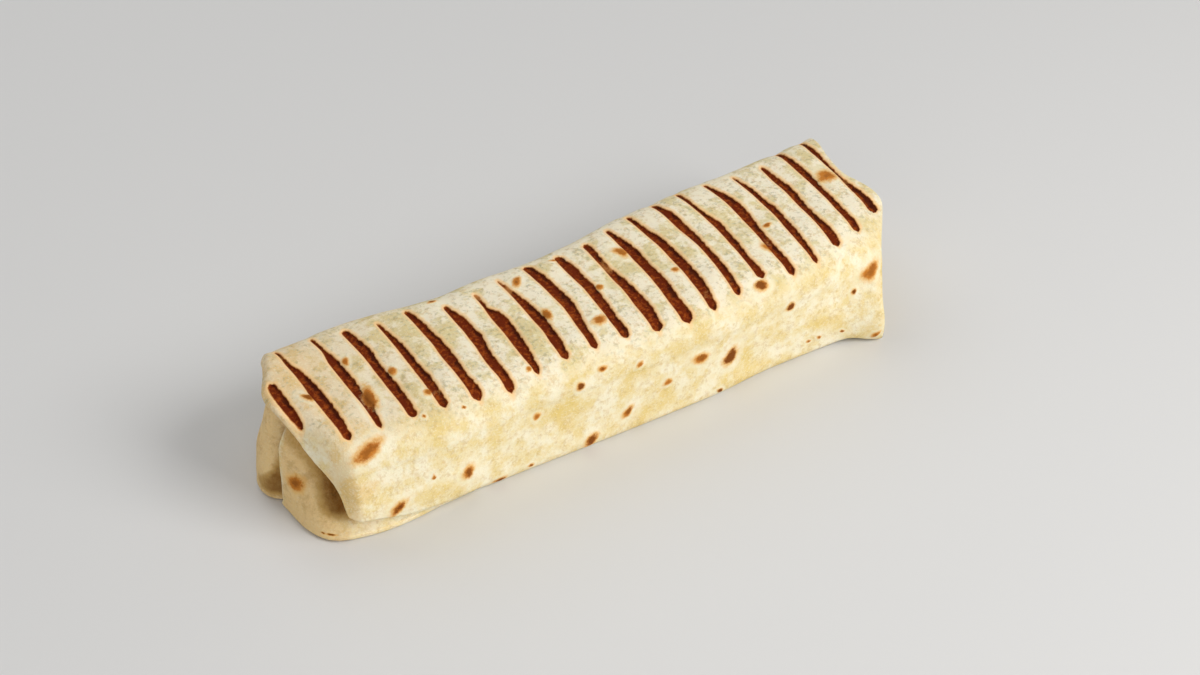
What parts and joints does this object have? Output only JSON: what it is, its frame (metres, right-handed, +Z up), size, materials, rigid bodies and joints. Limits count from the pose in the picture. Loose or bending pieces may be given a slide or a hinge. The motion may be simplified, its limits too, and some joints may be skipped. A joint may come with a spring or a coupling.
{
  "type": "pulled pork wrap",
  "caption": "Grilled flour tortilla wrap, rolled into a long rounded box with both ends folded in and dark grill marks pressed across its top.",
  "frame": {"origin": "under the middle of the wrap's box, on the surface it rests on", "axes": "+X along the wrap, away from the open folded end, +Y from its front to its back, +Z up"},
  "size_m": [0.233, 0.071, 0.0419],
  "materials": {
    "toasted_tortilla": "matt toasted flour tortilla, pale cream with yellow patches, brown toast spots and dark brown grill marks"
  },
  "bodies": {
    "root": {"tortilla_wrap": "toasted_tortilla"}
  },
  "joints": []
}
